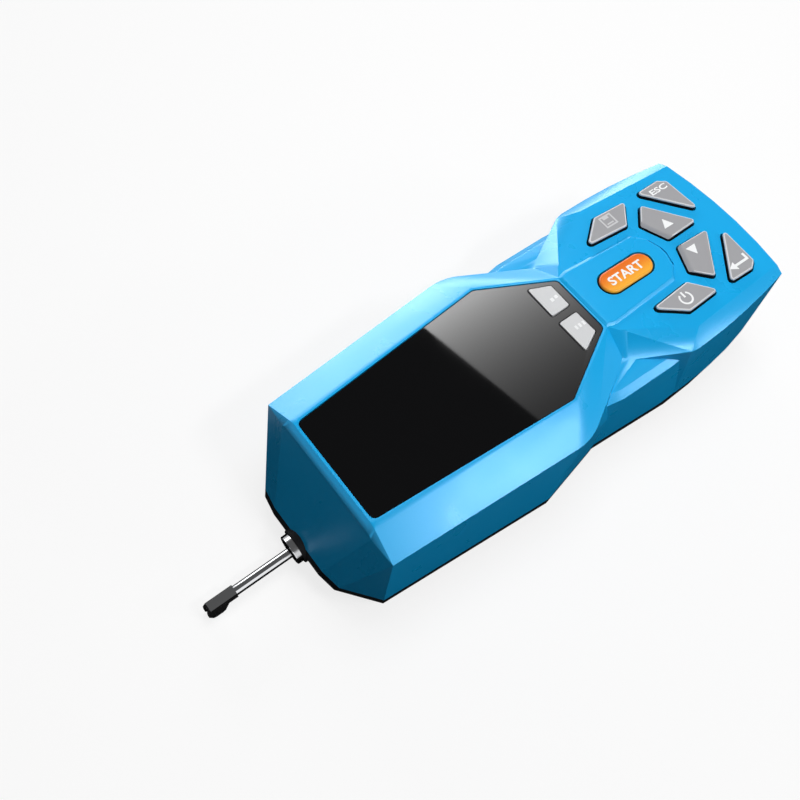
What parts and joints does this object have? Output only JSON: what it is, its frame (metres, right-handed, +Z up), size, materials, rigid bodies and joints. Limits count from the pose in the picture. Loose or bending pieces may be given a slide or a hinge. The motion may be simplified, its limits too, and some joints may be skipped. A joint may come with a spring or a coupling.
{
  "type": "handheld surface roughness tester",
  "caption": "Handheld surface roughness tester: waisted two-part case with a display window and keypad, and a stylus pickup on a tube drawn in by a lead-screw drive.",
  "frame": {"origin": "on the flat underside, midway across the case and about midway along it", "axes": "+Z up from the underside, -Y towards the pickup, +X to the right seen from behind the keypad"},
  "size_m": [0.065, 0.1872, 0.0402],
  "materials": {
    "case": "fine spark-eroded texture, blue",
    "base": "fine texture, black",
    "window": "polished black window",
    "display": "dark display panel",
    "board": "solder mask",
    "switches": "plain",
    "start": "satin, orange",
    "keys": "satin, warm grey",
    "soft_keys": "satin silver",
    "battery": "wrapped can",
    "socket": "plated sheet",
    "frame": "milled",
    "rods": "ground",
    "brass": "turned",
    "motor": "plated can",
    "carriage": "anodised",
    "plug": "plain",
    "chrome": "polished",
    "stylus": "ground",
    "diamond": "ground tip",
    "screws": "zinc plated"
  },
  "bodies": {
    "housing": {"upper_case": "case", "base_cover": "base", "window_glass": "window", "lcd_panel": "display", "main_board": "board", "key_switches": "switches", "battery_pack": "battery", "usb_socket": "socket", "drive_frame": "frame", "guide_rods": "rods", "screw_bushes": "brass", "drive_motor": "motor", "guide_collar": "chrome", "case_screws": "screws", "board_screws": "screws", "drive_screws": "screws"},
    "start_button": {"start_key": "start"},
    "save_button": {"save_key": "keys"},
    "escape_button": {"escape_key": "keys"},
    "up_button": {"up_key": "keys"},
    "down_button": {"down_key": "keys"},
    "enter_button": {"enter_key": "keys"},
    "power_button": {"power_key": "keys"},
    "soft_button_left": {"soft_key_left": "soft_keys"},
    "soft_button_right": {"soft_key_right": "soft_keys"},
    "pickup": {"carriage": "carriage", "lead_nut": "brass", "sensor_socket": "plug", "sensor_tube": "chrome", "sensor_nose": "chrome", "pivot_pin": "stylus"},
    "stylus": {"stylus_arm": "stylus", "stylus_tip": "diamond"},
    "screw": {"lead_screw": "rods", "screw_gear": "brass"},
    "pinion": {"motor_pinion": "brass"}
  },
  "joints": [
    {"name": "start_press", "type": "slide", "parent": "housing", "child": "start_button", "axis": [0, -0.0698, -0.9976], "range_m": [0, 0.0006], "stiffness_N_per_m": 2000},
    {"name": "save_press", "type": "slide", "parent": "housing", "child": "save_button", "axis": [0, -0.0698, -0.9976], "range_m": [0, 0.0006], "stiffness_N_per_m": 2000},
    {"name": "escape_press", "type": "slide", "parent": "housing", "child": "escape_button", "axis": [0, -0.0698, -0.9976], "range_m": [0, 0.0006], "stiffness_N_per_m": 2000},
    {"name": "up_press", "type": "slide", "parent": "housing", "child": "up_button", "axis": [0, -0.0698, -0.9976], "range_m": [0, 0.0006], "stiffness_N_per_m": 2000},
    {"name": "down_press", "type": "slide", "parent": "housing", "child": "down_button", "axis": [0, -0.0698, -0.9976], "range_m": [0, 0.0006], "stiffness_N_per_m": 2000},
    {"name": "enter_press", "type": "slide", "parent": "housing", "child": "enter_button", "axis": [0, -0.0698, -0.9976], "range_m": [0, 0.0006], "stiffness_N_per_m": 2000},
    {"name": "power_press", "type": "slide", "parent": "housing", "child": "power_button", "axis": [0, -0.0698, -0.9976], "range_m": [0, 0.0006], "stiffness_N_per_m": 2000},
    {"name": "soft_left_press", "type": "slide", "parent": "housing", "child": "soft_button_left", "axis": [0, 0, -1], "range_m": [0, 0.0006], "stiffness_N_per_m": 2000},
    {"name": "soft_right_press", "type": "slide", "parent": "housing", "child": "soft_button_right", "axis": [0, 0, -1], "range_m": [0, 0.0006], "stiffness_N_per_m": 2000},
    {"name": "traverse", "type": "slide", "parent": "housing", "child": "pickup", "axis": [0, 1, 0], "range_m": [0, 0.0175]},
    {"name": "stylus_pivot", "type": "hinge", "parent": "pickup", "child": "stylus", "pos_m": [0, -0.0997, 0.0059], "axis": [1, 0, 0], "range_deg": [-2.5, 2.5], "stiffness_Nm_per_rad": 0.0005},
    {"name": "screw_turn", "type": "hinge", "parent": "housing", "child": "screw", "pos_m": [0, -0.018, 0.0157], "axis": [0, 1, 0], "range_deg": [-1060, 10]},
    {"name": "pinion_turn", "type": "hinge", "parent": "housing", "child": "pinion", "pos_m": [0.009, -0.012, 0.0157], "axis": [0, 1, 0], "range_deg": [-20, 2120]}
  ],
  "couplings": [
    {"joint": "screw_turn", "follows": "traverse", "rad_per_m": -1047.2},
    {"joint": "pinion_turn", "follows": "traverse", "rad_per_m": 2094.4}
  ]
}
